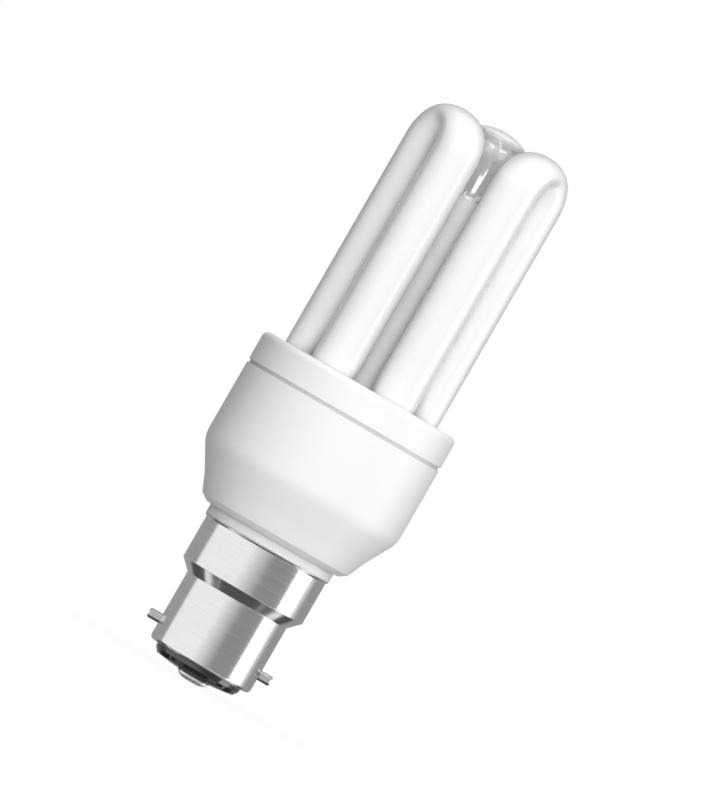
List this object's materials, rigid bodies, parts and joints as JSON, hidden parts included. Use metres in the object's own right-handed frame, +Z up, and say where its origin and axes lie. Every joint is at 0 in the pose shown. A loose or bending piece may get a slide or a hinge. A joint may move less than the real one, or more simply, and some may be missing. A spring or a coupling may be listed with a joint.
{
  "type": "energy saving bulb",
  "caption": "Compact fluorescent bulb with U-shaped tubes on a moulded white ballast housing, a bayonet cap, and a clear light guide that feeds its daylight sensor.",
  "frame": {"origin": "on the lamp's axis, level with the tips of the two contacts", "axes": "+Z up along the lamp's axis, from the cap to the tubes; the bayonet pins stand out along -X and +X; the contacts lie along Y"},
  "size_m": [0.0426, 0.0426, 0.1221],
  "materials": {
    "cap_metal": "satin",
    "black_glass": "glossy",
    "pin_metal": "satin",
    "contact_metal": "tinned, satin",
    "white_plastic": "satin, fine moulded grain",
    "cover_plastic": "satin",
    "coated_glass": "glossy over a white inner coating",
    "cement": "matte",
    "clear_plastic": "clear, polished",
    "sleeve_plastic": "satin",
    "board_laminate": "satin",
    "package_black": "matte",
    "can_sleeve": "glossy",
    "bobbin_plastic": "matte",
    "ferrite": "matte",
    "copper_winding": "lacquered",
    "film_lacquer": "glossy",
    "resistor_body": "satin",
    "lead_metal": "tinned",
    "wire_cover": "satin"
  },
  "bodies": {
    "root": {"bayonet_pin_left": "pin_metal", "bayonet_pin_right": "pin_metal", "cap_insulator": "black_glass", "cap_shell": "cap_metal", "choke_bobbin": "bobbin_plastic", "choke_core_lower": "ferrite", "choke_core_upper": "ferrite", "choke_winding": "copper_winding", "circuit_board": "board_laminate", "contact_front": "contact_metal", "contact_rear": "contact_metal", "discharge_tube": "coated_glass", "electrolytic_capacitor": "can_sleeve", "filament_lead_1": "lead_metal", "filament_lead_2": "lead_metal", "filament_lead_3": "lead_metal", "filament_lead_4": "lead_metal", "film_capacitor_1": "film_lacquer", "film_capacitor_2": "film_lacquer", "fusible_resistor": "resistor_body", "light_guide": "clear_plastic", "light_guide_sleeve": "sleeve_plastic", "light_sensor": "package_black", "lower_housing": "white_plastic", "rectifier_diode_1": "package_black", "rectifier_diode_2": "package_black", "rectifier_diode_3": "package_black", "rectifier_diode_4": "package_black", "resistor_1": "resistor_body", "resistor_2": "resistor_body", "resistor_3": "resistor_body", "resistor_4": "resistor_body", "ring_core": "ferrite", "ring_winding_1": "copper_winding", "ring_winding_2": "copper_winding", "ring_winding_3": "copper_winding", "supply_lead_front_lower": "wire_cover", "supply_lead_front_upper": "wire_cover", "supply_lead_rear": "wire_cover", "transistor_1": "package_black", "transistor_2": "package_black", "tube_cement": "cement", "upper_cover": "cover_plastic", "wrap_pin_1": "lead_metal", "wrap_pin_2": "lead_metal", "wrap_pin_3": "lead_metal", "wrap_pin_4": "lead_metal"}
  },
  "joints": []
}
